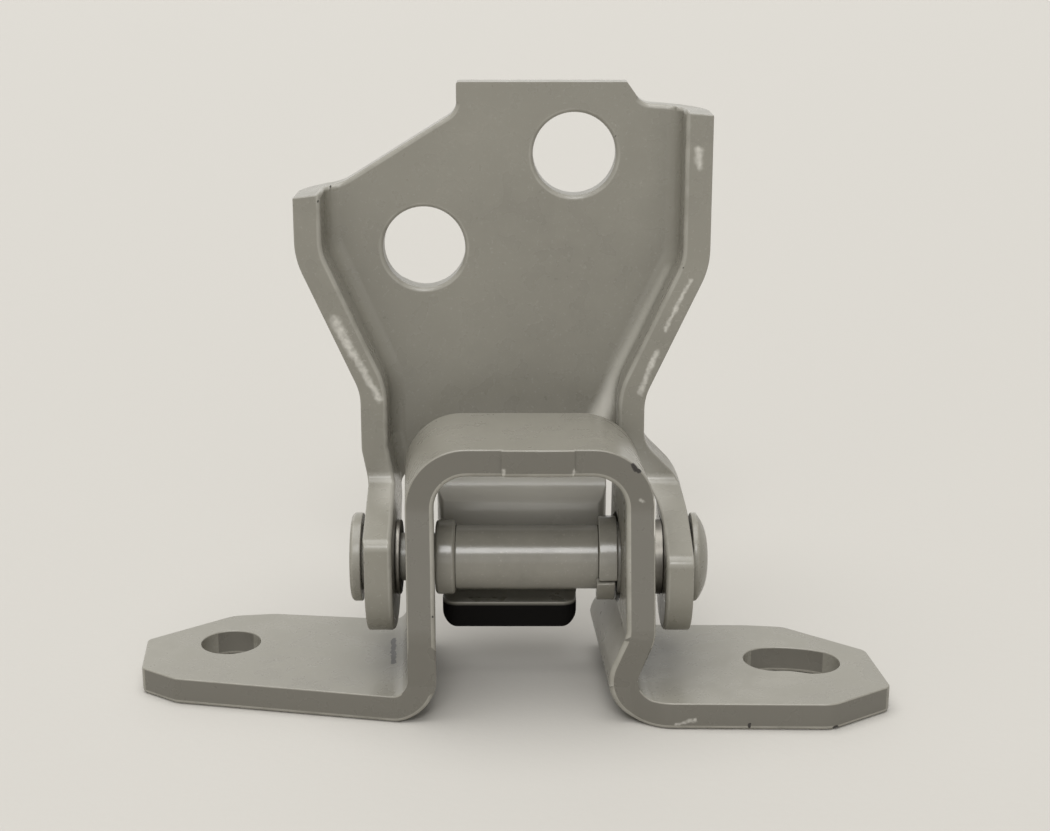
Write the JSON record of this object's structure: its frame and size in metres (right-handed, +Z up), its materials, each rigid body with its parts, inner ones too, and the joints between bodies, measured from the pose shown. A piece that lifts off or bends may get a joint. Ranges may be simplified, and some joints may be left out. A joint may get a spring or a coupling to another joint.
{
  "type": "car door hinge",
  "caption": "Painted sheet-steel car door hinge: a hat-shaped pillar bracket on two feet and a flanged door bracket that swings on a riveted pin.",
  "frame": {"origin": "on the plane that the two feet stand on, straight below the middle of the hinge pin's axis", "axes": "+X along the hinge pin towards its domed head, +Y from the pin towards the door plate, +Z up from the feet to the bridge; the door plate stands upright at rest"},
  "size_m": [0.1254, 0.0429, 0.0994],
  "materials": {
    "body_paint": "semi-gloss warm grey primer paint",
    "door_paint": "semi-gloss warm grey primer paint",
    "pin_paint": "semi-gloss warm grey primer paint",
    "sleeve_paint": "semi-gloss warm grey primer paint",
    "washer_paint": "thin warm grey primer paint",
    "bush_steel": "plain steel"
  },
  "bodies": {
    "body_leaf": {"body_bracket": "body_paint", "hinge_pin": "pin_paint", "spacer_tube": "sleeve_paint", "end_collar": "sleeve_paint", "split_clip": "sleeve_paint", "shim_washer": "washer_paint", "rivet_washer": "washer_paint"},
    "door_leaf": {"door_bracket": "door_paint", "left_bush": "bush_steel", "right_bush": "bush_steel"}
  },
  "joints": [
    {"name": "door_swing", "type": "hinge", "parent": "body_leaf", "child": "door_leaf", "pos_m": [0, 0, 0.023], "axis": [1, 0, 0], "range_deg": [-62, 3]}
  ]
}
